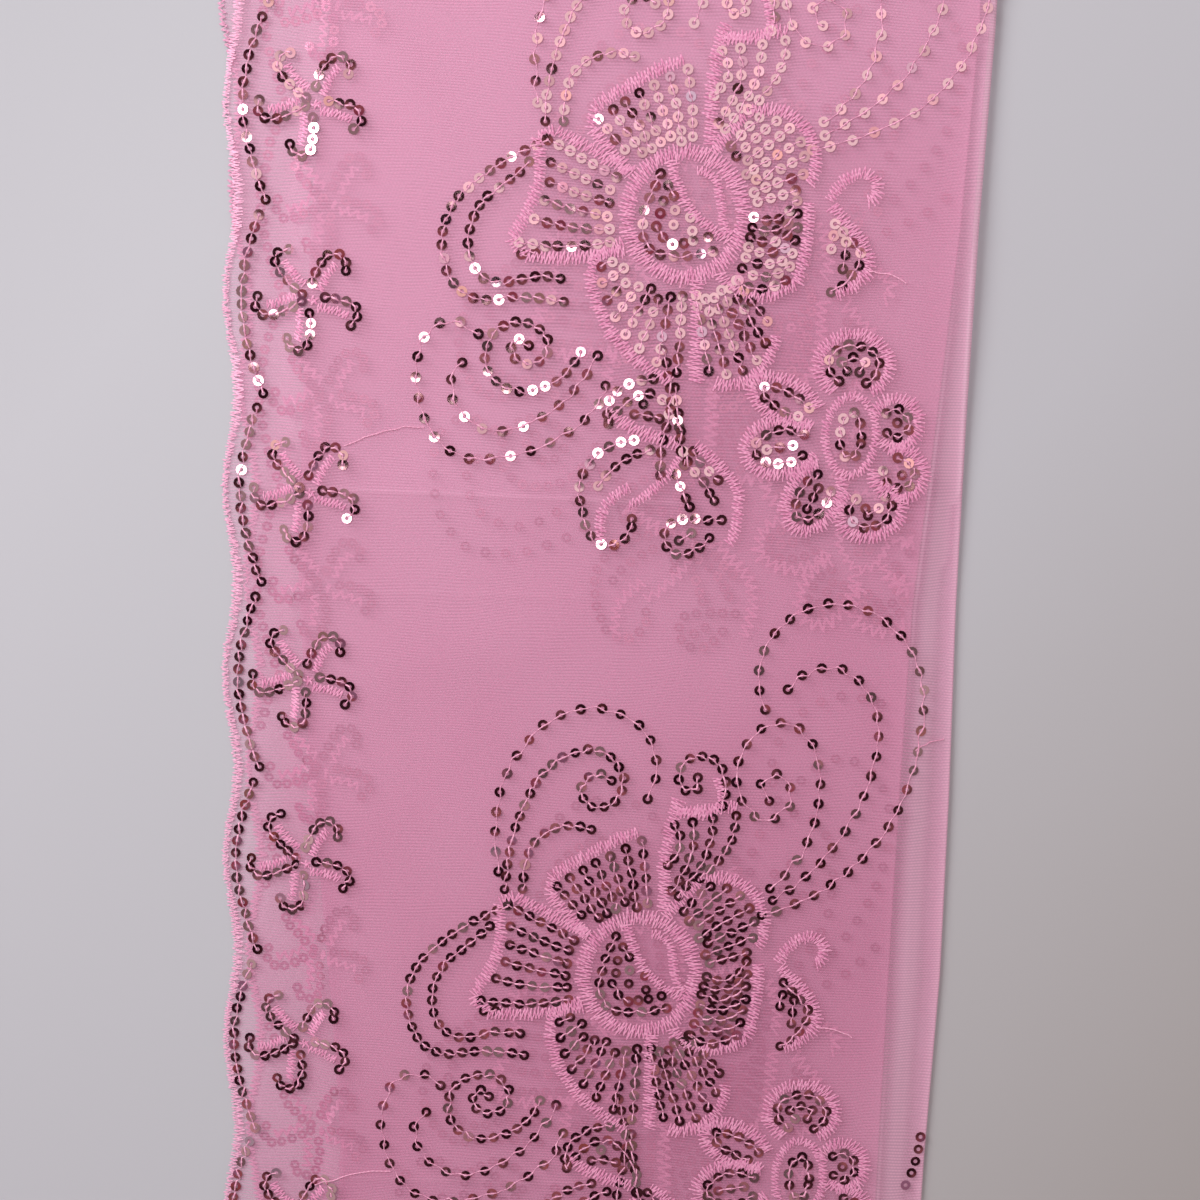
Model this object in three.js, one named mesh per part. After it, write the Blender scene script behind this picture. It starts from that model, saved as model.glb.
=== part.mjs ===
// A sheer embroidered shawl, folded lengthwise in four like a closed book and laid flat on a surface.
//
// Millimetres. +Y runs along the shawl, +X across it towards the outer fold, +Z up, with the surface at
// z = 0 and the origin under the middle of the folded strip.
//
// The cloth is one long panel with a scalloped edging down each long side. From the top down, its four
// layers are the front layer, the second layer, and two hidden layers that share one solid:
//
//      edging   front layer                                        )
//        ______/‾‾‾‾‾‾‾‾‾‾‾‾‾‾‾‾‾‾‾‾‾‾‾‾‾‾‾‾‾‾‾‾‾‾‾‾‾‾‾‾‾‾\____     )  outer fold
//     edging  ___/‾‾ second layer ‾‾‾‾‾‾‾‾‾‾‾‾‾‾‾‾‾‾‾‾‾) inner \    )
//                ( hidden layers _____________________)  fold   )  )
//       centre fold (_________________________________________)/
//
// Each solid is a loft: one cross-section at each station along the length.

import * as THREE from "three";

const WALL = 1; // thickness of the cloth wall
const GAP = 0.3; // clearance between layers, and at seams
const RISE = WALL + GAP; // from one layer up to the next

const SCALLOP_PITCH = 53; // along the edging, from one scallop to the next
const SCALLOPS = 34; // down one long side
const SCALLOP_DEPTH = 3; // how far a scallop stands out from the valleys beside it
const SCALLOP_STEPS = 6; // stations along one scallop
const EDGING_WIDTH = 4; // from the scallops' valleys in to the seam with the panel
const LENGTH = SCALLOP_PITCH * SCALLOPS;

// The layers' ends don't quite line up, so each has its own half length.
const FRONT_END = LENGTH / 2;
const SECOND_END = FRONT_END - 3;
const HIDDEN_END = FRONT_END - 6;

// Along Y, where one scallop of each edging stands out furthest.
const FRONT_SCALLOP_AT = 28.5;
const SECOND_SCALLOP_AT = 2;

const CLIMB = 6; // run over which a layer climbs onto what lies under it
const TURN_UNDER = 8; // how far a folded layer carries on past its fold, underneath
const TIGHT_STRIP = 4; // the outer fold goes straight round the inner one where they are this close
const WIDE_STRIP = 12; // and lies down as two layers where they are this far apart
const FOLD_SEGMENTS = 6; // facets round a fold
const SLIT = 10; // how deep the two hidden layers show as two, from their edges inwards

// Where the edges and folds lie across the width. The edges are the valleys between the scallops.
const LAYOUT = [
  { y: -901, frontEdge: -101, secondEdge: -97, centreFold: -80, innerFold: 90, outerFold: 99 },
  { y: -640, frontEdge: -101.5, secondEdge: -101, centreFold: -78, innerFold: 94, outerFold: 103 },
  { y: -400, frontEdge: -100.5, secondEdge: -96, centreFold: -84, innerFold: 86, outerFold: 97 },
  { y: -168, frontEdge: -99.5, secondEdge: -93, centreFold: -69.5, innerFold: 87, outerFold: 100.5 },
  { y: -84, frontEdge: -100.5, secondEdge: -94, centreFold: -76.5, innerFold: 88, outerFold: 103 },
  { y: 0, frontEdge: -101.5, secondEdge: -95.5, centreFold: -84, innerFold: 89.5, outerFold: 102 },
  { y: 84, frontEdge: -102, secondEdge: -99, centreFold: -83, innerFold: 96.5, outerFold: 102.5 },
  { y: 168, frontEdge: -102.5, secondEdge: -104, centreFold: -77, innerFold: 100.5, outerFold: 105 },
  { y: 400, frontEdge: -101.5, secondEdge: -104, centreFold: -85, innerFold: 99, outerFold: 107 },
  { y: 640, frontEdge: -102.5, secondEdge: -99, centreFold: -87, innerFold: 91, outerFold: 101 },
  { y: 901, frontEdge: -102, secondEdge: -97, centreFold: -84, innerFold: 88, outerFold: 98 },
];
const COLUMNS = ["frontEdge", "secondEdge", "centreFold", "innerFold", "outerFold"];

const COLOURS = {
  tulle: 0xd98fae,
  hiddenTulle: 0xc97f9f,
  edging: 0xe79cba,
};

// ---------------------------------------------------------------- layout along the length

// Slope of a column at a row of the layout. The harmonic mean keeps the curve from overshooting.
function slopeAtRow(index, column) {
  const before = LAYOUT[index - 1];
  const here = LAYOUT[index];
  const after = LAYOUT[index + 1];
  if (!before || !after) return 0;
  const slopeIn = (here[column] - before[column]) / (here.y - before.y);
  const slopeOut = (after[column] - here[column]) / (after.y - here.y);
  return slopeIn * slopeOut <= 0 ? 0 : (2 * slopeIn * slopeOut) / (slopeIn + slopeOut);
}

// A column's value at y, on a smooth curve through the rows.
function curveAt(y, column) {
  const lastSpan = LAYOUT.length - 2;
  const found = LAYOUT.findIndex((row, index) => index <= lastSpan && y <= LAYOUT[index + 1].y);
  const index = found < 0 ? lastSpan : found;
  const start = LAYOUT[index];
  const end = LAYOUT[index + 1];
  const span = end.y - start.y;
  const t = (y - start.y) / span;
  const startPull = slopeAtRow(index, column) * span;
  const endPull = slopeAtRow(index + 1, column) * span;
  return (
    start[column] * (1 + 2 * t) * (1 - t) ** 2 +
    startPull * t * (1 - t) ** 2 +
    end[column] * t ** 2 * (3 - 2 * t) -
    endPull * t ** 2 * (1 - t)
  );
}

// All columns at y. Straight between stations one scallop apart, so that neighbours keep their gaps.
function layoutAt(y) {
  const station = Math.min(Math.floor((y + FRONT_END) / SCALLOP_PITCH), SCALLOPS - 1);
  const startY = station * SCALLOP_PITCH - FRONT_END;
  const t = (y - startY) / SCALLOP_PITCH;
  const values = {};
  for (const column of COLUMNS) {
    const start = curveAt(startY, column);
    const end = curveAt(startY + SCALLOP_PITCH, column);
    values[column] = THREE.MathUtils.lerp(start, end, t);
  }
  return values;
}

// Stations along a piece that ends at -end and +end, on the shared grid in between.
function stationsTo(end, stepsPerScallop = 1) {
  const step = SCALLOP_PITCH / stepsPerScallop;
  const count = SCALLOPS * stepsPerScallop;
  const inner = [];
  for (let index = 1; index < count; index += 1) {
    const y = index * step - FRONT_END;
    if (Math.abs(y) < end - GAP) inner.push(y);
  }
  return [-end, ...inner, end];
}

// The outermost line of an edging: the valleys' line, pushed out by the scallops.
function scallopedEdge(y, edge, scallopAt) {
  const turn = (2 * Math.PI * (y - scallopAt)) / SCALLOP_PITCH;
  return edge - (SCALLOP_DEPTH * (1 + Math.cos(turn))) / 2;
}

// ---------------------------------------------------------------- lofting

// Triangles that close a ring at one end of a loft, all wound the same way round.
function capTriangles(ring, firstIndex, facesBack) {
  const contour = ring.map(({ x, z }) => new THREE.Vector2(x, z));
  return THREE.ShapeUtils.triangulateShape(contour, []).flatMap((triangle) => {
    const [a, b, c] = triangle;
    const turnsLeft = THREE.ShapeUtils.area([contour[a], contour[b], contour[c]]) > 0;
    const ordered = turnsLeft === facesBack ? [a, b, c] : [c, b, a];
    return ordered.map((index) => firstIndex + index);
  });
}

// A closed solid through one ring of { x, z } points per station. Seen along +Y, rings run clockwise.
function loftAlongY(stations, ringAt) {
  const rings = stations.map((y) => ringAt(y));
  const size = rings[0].length;
  const positions = rings.flatMap((ring, row) => ring.flatMap(({ x, z }) => [x, stations[row], z]));
  const indices = [];
  for (let row = 0; row + 1 < rings.length; row += 1) {
    for (let side = 0; side < size; side += 1) {
      const next = (side + 1) % size;
      const near = row * size;
      const far = near + size;
      indices.push(near + side, near + next, far + next);
      indices.push(near + side, far + next, far + side);
    }
  }
  indices.push(...capTriangles(rings[0], 0, true));
  indices.push(...capTriangles(rings.at(-1), (rings.length - 1) * size, false));
  const geometry = new THREE.BufferGeometry();
  geometry.setAttribute("position", new THREE.Float32BufferAttribute(positions, 3));
  geometry.setIndex(indices);
  geometry.computeVertexNormals();
  return geometry;
}

// ---------------------------------------------------------------- cross-sections

// Points round a half circle that bulges towards +X (side = 1) or -X (side = -1), from its top down.
function halfCircle(x, z, radius, side) {
  const points = [];
  for (let step = 0; step <= FOLD_SEGMENTS; step += 1) {
    const angle = Math.PI / 2 - (Math.PI * step) / FOLD_SEGMENTS;
    points.push({ x: x + side * radius * Math.cos(angle), z: z + radius * Math.sin(angle) });
  }
  return points;
}

// The wall's underside, given from left to right, and its top, as one ring.
function wallRing(underside) {
  const top = underside.map(({ x, z }) => ({ x, z: z + WALL }));
  return [...top, ...underside.toReversed()];
}

// A layer that runs in along `underside` and turns under at a fold, with its return at height `under`.
function foldedRing(underside, fold, radius, under) {
  const top = underside.map(({ x, z }) => ({ x, z: z + WALL }));
  const centreX = fold - radius;
  const centreZ = under + radius;
  const returnX = fold - TURN_UNDER;
  return [
    ...top,
    ...halfCircle(centreX, centreZ, radius, 1),
    { x: returnX, z: under },
    { x: returnX, z: under + WALL },
    ...halfCircle(centreX, centreZ, radius - WALL, 1).toReversed(),
    ...underside.toReversed(),
  ];
}

// How far up, from 0 to 1, a layer has climbed at x on its way onto something that starts at `start`.
function climbed(x, start) {
  return THREE.MathUtils.clamp((x - start) / CLIMB + 1, 0, 1);
}

// Front layer: over the second layer, up over the centre fold, down past the inner fold and round.
function frontLayerRing(y) {
  const { frontEdge, centreFold, innerFold, outerFold } = layoutAt(y);
  const strip = outerFold - innerFold;
  const laidDown = THREE.MathUtils.clamp((strip - TIGHT_STRIP) / (WIDE_STRIP - TIGHT_STRIP), 0, 1);
  const foldHeight = WALL + RISE * (3 - 2 * laidDown);
  const underside = [
    { x: frontEdge + EDGING_WIDTH + GAP, z: RISE },
    { x: centreFold - CLIMB, z: RISE },
    { x: centreFold, z: 3 * RISE },
    { x: innerFold - RISE, z: 3 * RISE },
  ];
  return foldedRing(underside, outerFold, foldHeight / 2, 0);
}

// Second layer: on the surface at its edge, up over the centre fold and round the inner fold.
function secondLayerRing(y) {
  const { secondEdge, centreFold, innerFold } = layoutAt(y);
  const underside = [
    { x: secondEdge + EDGING_WIDTH + GAP, z: 0 },
    { x: centreFold - CLIMB, z: 0 },
    { x: centreFold, z: 2 * RISE },
  ];
  return foldedRing(underside, innerFold, (WALL + RISE) / 2, RISE);
}

// Hidden layers: round at the centre fold, and split in two by a slit at the right and at both ends.
function hiddenLayersRing(y) {
  const { centreFold, innerFold, outerFold } = layoutAt(y);
  const radius = (WALL + RISE) / 2;
  const upperEnd = innerFold - TURN_UNDER - GAP;
  const lowerEnd = outerFold - TURN_UNDER - GAP;
  const nearEnd = Math.abs(y) > HIDDEN_END - SLIT;
  const slitStart = nearEnd ? centreFold + 2 * radius : upperEnd - SLIT;
  return [
    { x: upperEnd, z: WALL + RISE },
    { x: upperEnd, z: RISE },
    { x: slitStart, z: RISE },
    { x: slitStart, z: WALL },
    { x: lowerEnd, z: WALL },
    { x: lowerEnd, z: 0 },
    ...halfCircle(centreFold + radius, radius, radius, -1).toReversed(),
  ];
}

// Front edging: climbs from the surface onto the second edging, wherever that lies.
function frontEdgingRing(y) {
  const { frontEdge, secondEdge } = layoutAt(y);
  const outer = scallopedEdge(y, frontEdge, FRONT_SCALLOP_AT);
  const seam = frontEdge + EDGING_WIDTH;
  const carriedFrom = secondEdge - SCALLOP_DEPTH;
  return wallRing([
    { x: outer, z: RISE * climbed(outer, carriedFrom) },
    { x: THREE.MathUtils.clamp(carriedFrom, outer + GAP, seam - GAP), z: RISE },
    { x: seam, z: RISE },
  ]);
}

// Second edging: flat on the surface.
function secondEdgingRing(y) {
  const { secondEdge } = layoutAt(y);
  return wallRing([
    { x: scallopedEdge(y, secondEdge, SECOND_SCALLOP_AT), z: 0 },
    { x: secondEdge + EDGING_WIDTH, z: 0 },
  ]);
}

// ---------------------------------------------------------------- pieces

function clothMesh(name, geometry, color) {
  const material = new THREE.MeshStandardMaterial({ color, roughness: 0.6, metalness: 0 });
  const mesh = new THREE.Mesh(geometry, material);
  mesh.name = name;
  return mesh;
}

function frontLayer() {
  const geometry = loftAlongY(stationsTo(FRONT_END), frontLayerRing);
  return clothMesh("front_layer", geometry, COLOURS.tulle);
}

function secondLayer() {
  const geometry = loftAlongY(stationsTo(SECOND_END), secondLayerRing);
  return clothMesh("second_layer", geometry, COLOURS.tulle);
}

function hiddenLayers() {
  const slitFloor = HIDDEN_END - SLIT;
  const stations = stationsTo(HIDDEN_END);
  const withSlits = [...stations, -slitFloor, -slitFloor - GAP, slitFloor, slitFloor + GAP];
  const geometry = loftAlongY(withSlits.sort((a, b) => a - b), hiddenLayersRing);
  return clothMesh("hidden_layers", geometry, COLOURS.hiddenTulle);
}

function frontEdging() {
  const geometry = loftAlongY(stationsTo(FRONT_END, SCALLOP_STEPS), frontEdgingRing);
  return clothMesh("front_edging", geometry, COLOURS.edging);
}

function secondEdging() {
  const geometry = loftAlongY(stationsTo(SECOND_END, SCALLOP_STEPS), secondEdgingRing);
  return clothMesh("second_edging", geometry, COLOURS.edging);
}

const shawl = new THREE.Group();
shawl.add(frontLayer(), secondLayer(), hiddenLayers(), frontEdging(), secondEdging());

export default shawl;
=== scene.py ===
"""Looks of a sheer embroidered shawl, folded lengthwise in four and laid flat.

Lengths are in millimetres until a mesh is made. +Y runs along the shawl, +X across it towards the outer
fold, +Z up, and the surface that it lies on is at z = 0. The cloth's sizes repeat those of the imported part.

From the top down the layers are the front layer, the second layer and two hidden layers. The front
layer turns under at the outer fold, the second at the inner fold, and the hidden ones at the centre fold.
"""

import math

import bpy
import numpy as np
from mathutils import Matrix, Vector


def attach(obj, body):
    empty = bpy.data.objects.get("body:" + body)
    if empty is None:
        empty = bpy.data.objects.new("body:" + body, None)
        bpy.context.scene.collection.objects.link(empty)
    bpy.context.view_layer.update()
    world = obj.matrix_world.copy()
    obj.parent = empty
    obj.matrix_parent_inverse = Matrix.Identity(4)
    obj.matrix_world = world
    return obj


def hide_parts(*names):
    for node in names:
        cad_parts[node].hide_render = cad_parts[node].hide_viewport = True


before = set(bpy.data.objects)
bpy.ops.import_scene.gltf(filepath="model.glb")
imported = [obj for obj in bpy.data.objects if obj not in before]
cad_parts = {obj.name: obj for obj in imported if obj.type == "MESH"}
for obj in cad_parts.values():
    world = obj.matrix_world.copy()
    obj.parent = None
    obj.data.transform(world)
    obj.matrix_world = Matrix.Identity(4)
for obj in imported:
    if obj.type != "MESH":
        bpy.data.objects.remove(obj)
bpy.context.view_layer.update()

MM = 0.001
rng = np.random.default_rng(53)

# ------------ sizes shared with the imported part

WALL = 1.0  # thickness of a packed cloth wall, with each sheet at its middle
RISE = 1.3  # from one layer up to the next
SCALLOP_PITCH = 53.0
SCALLOPS = 34
SCALLOP_DEPTH = 3.0
LENGTH = SCALLOP_PITCH * SCALLOPS
FRONT_END = LENGTH / 2
SECOND_END = FRONT_END - 3
HIDDEN_END = FRONT_END - 6
FRONT_SCALLOP_AT = 28.5
SECOND_SCALLOP_AT = 2.0
CLIMB = 6.0
TURN_UNDER = 8.0
TIGHT_STRIP = 4.0
WIDE_STRIP = 12.0

COLUMNS = ("y", "front_edge", "second_edge", "centre_fold", "inner_fold", "outer_fold")
LAYOUT = np.array([
    (-901, -101, -97, -80, 90, 99),
    (-640, -101.5, -101, -78, 94, 103),
    (-400, -100.5, -96, -84, 86, 97),
    (-168, -99.5, -93, -69.5, 87, 100.5),
    (-84, -100.5, -94, -76.5, 88, 103),
    (0, -101.5, -95.5, -84, 89.5, 102),
    (84, -102, -99, -83, 96.5, 102.5),
    (168, -102.5, -104, -77, 100.5, 105),
    (400, -101.5, -104, -85, 99, 107),
    (640, -102.5, -99, -87, 91, 101),
    (901, -102, -97, -84, 88, 98),
], dtype=float)

BOTTOM = WALL / 2  # height of the lowest sheet
TOP = BOTTOM + 3 * RISE  # height of the highest one


def smooth(t):
    """0 below 0, 1 above 1, and an even S between."""
    t = np.clip(t, 0, 1)
    return t * t * (3 - 2 * t)


def row_slopes(ys, values):
    """Slopes at the layout's rows that keep a curve through them from overshooting."""
    steps = np.diff(values) / np.diff(ys)
    slopes = np.zeros(len(values))
    before, after = steps[:-1], steps[1:]
    agree = before * after > 0
    slopes[1:-1][agree] = 2 * before[agree] * after[agree] / (before[agree] + after[agree])
    return slopes


def curve_at(y, column):
    """A column's value at y, on a smooth curve through the rows."""
    ys, values = LAYOUT[:, 0], LAYOUT[:, COLUMNS.index(column)]
    slopes = row_slopes(ys, values)
    row = np.clip(np.searchsorted(ys, y) - 1, 0, len(ys) - 2)
    span = ys[row + 1] - ys[row]
    t = (y - ys[row]) / span
    start = values[row] * (1 + 2 * t) * (1 - t) ** 2 + slopes[row] * span * t * (1 - t) ** 2
    end = values[row + 1] * t**2 * (3 - 2 * t) - slopes[row + 1] * span * t**2 * (1 - t)
    return start + end


STATIONS = np.linspace(-FRONT_END, FRONT_END, SCALLOPS + 1)
STATION_VALUES = {column: curve_at(STATIONS, column) for column in COLUMNS[1:]}


def across(column, y):
    """Where an edge or fold lies across the width, at y."""
    return np.interp(y, STATIONS, STATION_VALUES[column])


def scalloped(y, column, scallop_at):
    """The outermost line of an edging."""
    turn = 2 * np.pi * (y - scallop_at) / SCALLOP_PITCH
    return across(column, y) - SCALLOP_DEPTH * (1 + np.cos(turn)) / 2


def front_outline(y):
    return scalloped(y, "front_edge", FRONT_SCALLOP_AT)


def second_outline(y):
    return scalloped(y, "second_edge", SECOND_SCALLOP_AT)


# ------------ creases and puckers

# Pressed creases straight across, from folding the shawl end over end.
CREASES = [
    # y, slope, height, from x, to x
    (-764, 0.010, -0.5, -110, 110),
    (-566, -0.008, 0.7, -110, 70),
    (-368, 0.006, -0.6, -80, 110),
    (-170, 0.004, 0.5, -110, 20),
    (1, 0.010, 0.25, -110, 10),
    (28, -0.012, 0.9, -110, 40),
    (226, 0.008, -0.6, -60, 110),
    (424, -0.010, 0.8, -110, 80),
    (622, 0.012, -0.5, -110, 110),
    (820, -0.006, 0.6, -90, 110),
]
CREASE_WIDTH = 0.6
CREASE_REACH = 15.0  # how far the cloth leans away on each side of a crease
CREASE_FADE = 25.0
CREASE_LEAN, CREASE_LINE = 0.75, 0.1  # shares of its height that go to its lean and its sharp line

# Soft slanting puckers between the border and each flower, in places from the flower's centre.
PUCKERS = [
    # x, y, angle, length, width, height
    (-88, 60, 118, 38, 7, 0.55),
    (-76, 34, 122, 46, 6, 0.5),
    (-64, 66, 112, 30, 8, -0.45),
    (-82, -12, 74, 40, 9, 0.4),
    (-70, -52, 64, 34, 8, -0.4),
    (-50, 92, 15, 40, 9, 0.45),
    (14, 98, 100, 26, 7, -0.4),
    (8, -112, 82, 32, 8, 0.45),
    (66, -32, 96, 34, 7, 0.4),
    (72, 12, 84, 30, 6, -0.35),
]
PUCKER_TAPER = 1.6

# Long slow waves over the whole strip, as (across, along) wave counts per metre, height and phase.
SLOW_WAVES = [(1.5, 3.1, 0.5, 0.4), (4.2, 5.3, 0.3, 1.9), (9.0, 7.7, 0.15, 4.0), (6.1, 13.0, 0.12, 2.6)]


def waves_at(x, y, waves):
    """Sum of slow waves of (across, along, height, phase), with wave counts per metre."""
    total = np.zeros(np.broadcast(x, y).shape)
    for across_count, along_count, height, phase in waves:
        total += height * np.sin(2 * np.pi * MM * (across_count * x + along_count * y) + phase)
    return total


def crease_profile(x, y, crease):
    """How much of a crease there is at (x, y), as (its lean, its sharp line)."""
    at, slope, _, start, end = crease
    away = np.abs(y - at - slope * x)
    shown = smooth((x - start) / CREASE_FADE) * smooth((end - x) / CREASE_FADE)
    return shown * np.exp(-away / CREASE_REACH), shown * np.exp(-((away / CREASE_WIDTH) ** 2))


def pucker_height(x, y, pucker):
    px, py, angle, length, width, height = pucker
    turn = math.radians(angle)
    along = (x - px) * math.cos(turn) + (y - py) * math.sin(turn)
    aside = (y - py) * math.cos(turn) - (x - px) * math.sin(turn)
    return height * np.exp(-((along / length * PUCKER_TAPER) ** 2)) * np.exp(-((aside / width) ** 2))


def relief(x, y):
    """How far creases, puckers and waves lift the top layer from its flat height."""
    height = np.zeros(np.broadcast(x, y).shape)
    for crease in CREASES:
        lean, line = crease_profile(x, y, crease)
        height += crease[2] * (CREASE_LEAN * lean + CREASE_LINE * line)
    for index, (flower_x, flower_y) in enumerate(FLOWER_CENTRES):
        for number, pucker in enumerate(PUCKERS):
            strength = 0.7 + 0.3 * math.cos(index * 2.3 + number * 1.7)  # no two flowers pucker alike
            height += strength * pucker_height(x - flower_x, y - flower_y, pucker)
    return height + waves_at(x, y, SLOW_WAVES)


def lifted(x, y, z):
    """Height z on the flat layers, with the relief, which fades out down to the lowest layer."""
    return z + relief(x, y) * (z - BOTTOM) / (TOP - BOTTOM)


# ------------ layers

FOLD_SEGMENTS = 6
FINE_STEP = 0.5  # between rows beside a crease
FINE_REACH = 2.0
HALF_STRIP = 100.0  # half the folded shawl's width


def fold_height(y):
    """Thickness of the outer fold, less where the strip beyond the inner fold is wide."""
    strip = across("outer_fold", y) - across("inner_fold", y)
    laid_down = np.clip((strip - TIGHT_STRIP) / (WIDE_STRIP - TIGHT_STRIP), 0, 1)
    return WALL + RISE * (3 - 2 * laid_down)


FOLD_ROUND = 2.0  # width of the outer fold's own rounding


def front_flat(x, y):
    """Height of the front layer before its relief."""
    on_second = smooth((x - second_outline(y) + CLIMB / 2) / CLIMB)
    over_centre = smooth((x - across("centre_fold", y)) / CLIMB + 1)
    inner, outer = across("inner_fold", y), across("outer_fold", y)
    past_inner = smooth((x - inner) / np.maximum(outer - inner - FOLD_ROUND, TIGHT_STRIP))
    drop = TOP - (fold_height(y) - WALL / 2)
    return BOTTOM + RISE * on_second + 2 * RISE * over_centre - drop * past_inner


def second_flat(x, y):
    over_centre = smooth((x - across("centre_fold", y)) / CLIMB + 1)
    return BOTTOM + 2 * RISE * over_centre


def front_height(x, y):
    return lifted(x, y, front_flat(x, y))


def second_height(x, y):
    return lifted(x, y, second_flat(x, y))


def fold_arc(fold, low, high, side):
    """Points (x, z) round a fold from its top down, bulging towards +X (side = 1) or -X."""
    radius = (high - low) / 2
    angles = np.linspace(np.pi / 2, -np.pi / 2, FOLD_SEGMENTS + 1)
    x = fold - side * (radius + WALL / 2) + side * radius * np.cos(angles)
    return np.column_stack([x, (high + low) / 2 + radius * np.sin(angles)])


# Columns before each sheet's fold: to the inner fold's line, beside it, and from it to the outer fold.
FRONT_COLUMNS = 78
FOLD_LINE = np.array([-0.6, -0.25, 0.1, 0.6])
BEYOND_COLUMNS = 5
FRONT_FOLD_AT = FRONT_COLUMNS + len(FOLD_LINE) + BEYOND_COLUMNS
SECOND_COLUMNS = 49
HIDDEN_COLUMNS = 17
SHEET_EDGE = 0.4  # from an edging's outermost line in to the net's cut edge
BESIDE_LINE = 1.5  # from the inner fold's line to the plain columns on each side of it


def front_section(y):
    fold = across("outer_fold", y)
    high = fold_height(y) - WALL / 2
    arc = fold_arc(fold, BOTTOM, high, 1)
    line = across("inner_fold", y)
    over = np.linspace(front_outline(y) + SHEET_EDGE, line - BESIDE_LINE, FRONT_COLUMNS)
    beyond = np.linspace(line + BESIDE_LINE, arc[0, 0], BEYOND_COLUMNS + 1)[:-1]
    x = np.concatenate([over, line + FOLD_LINE, beyond])
    return np.vstack([np.column_stack([x, front_flat(x, y)]), arc, [(fold - TURN_UNDER, BOTTOM)]])


def second_section(y):
    fold = across("inner_fold", y)
    arc = fold_arc(fold, BOTTOM + RISE, BOTTOM + 2 * RISE, 1)
    x = np.linspace(second_outline(y) + SHEET_EDGE, arc[0, 0], SECOND_COLUMNS + 1)[:-1]
    return np.vstack([np.column_stack([x, second_flat(x, y)]), arc, [(fold - TURN_UNDER, BOTTOM + RISE)]])


def hidden_section(y):
    arc = fold_arc(across("centre_fold", y), BOTTOM, BOTTOM + RISE, -1)
    upper = np.linspace(across("inner_fold", y) - TURN_UNDER, arc[0, 0], HIDDEN_COLUMNS + 1)[:-1]
    lower = np.linspace(arc[-1, 0], across("outer_fold", y) - TURN_UNDER, HIDDEN_COLUMNS + 1)[1:]
    upper_layer = np.column_stack([upper, np.full(HIDDEN_COLUMNS, BOTTOM + RISE)])
    lower_layer = np.column_stack([lower, np.full(HIDDEN_COLUMNS, BOTTOM)])
    return np.vstack([upper_layer, arc, lower_layer])


def sheet_rows(end, step):
    """Rows along a sheet, closer together beside the creases."""
    rows = set(np.linspace(-end, end, round(2 * end / step) + 1))
    for at, slope, *_ in CREASES:
        reach = FINE_REACH + abs(slope) * HALF_STRIP
        rows |= set(np.arange(at - reach, at + reach, FINE_STEP))
    return np.array(sorted(row for row in rows if abs(row) <= end))


# ------------ the embroidery's design

PATH_STEP = 0.25  # between points on a drawn line
ROW_POINTS = 60  # on a drawn row of a petal, leaf or loop
CLOSE = 3.6  # between sequins that nearly touch
WIDE = 5.8  # between sequins strung out along a scroll
LEFT_OVER = 0.3  # share of a pitch by which a row's last sequin may lie closer to the one before

FLOWER_PITCH = 4 * SCALLOP_PITCH
FLOWER_X = 18.6
FLOWER_Y = 105.7
FLOWER_SWAY = (2.8, 1.3)  # flowers lie alternately this far to either side of their even places
FLOWER_CENTRES = [
    (FLOWER_X + sign * FLOWER_SWAY[0], FLOWER_Y + FLOWER_PITCH * count + sign * FLOWER_SWAY[1])
    for count in range(-5, 5)
    for sign in [1 if count % 2 == 0 else -1]
]
STAR_X = -81.6
SECOND_SHIFT = (5.0, -SCALLOP_PITCH / 2)  # the second layer's pattern, from the front layer's

RING_RADII = (16.0, 17.0)
RING_SEAM = 4.4
PETAL_SEAM = 3.5
PETAL_FOOT = 18.5  # where a petal's outline leaves the ring
PETAL_RIM = 3.2  # from a petal's last sequins out to its outline

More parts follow.
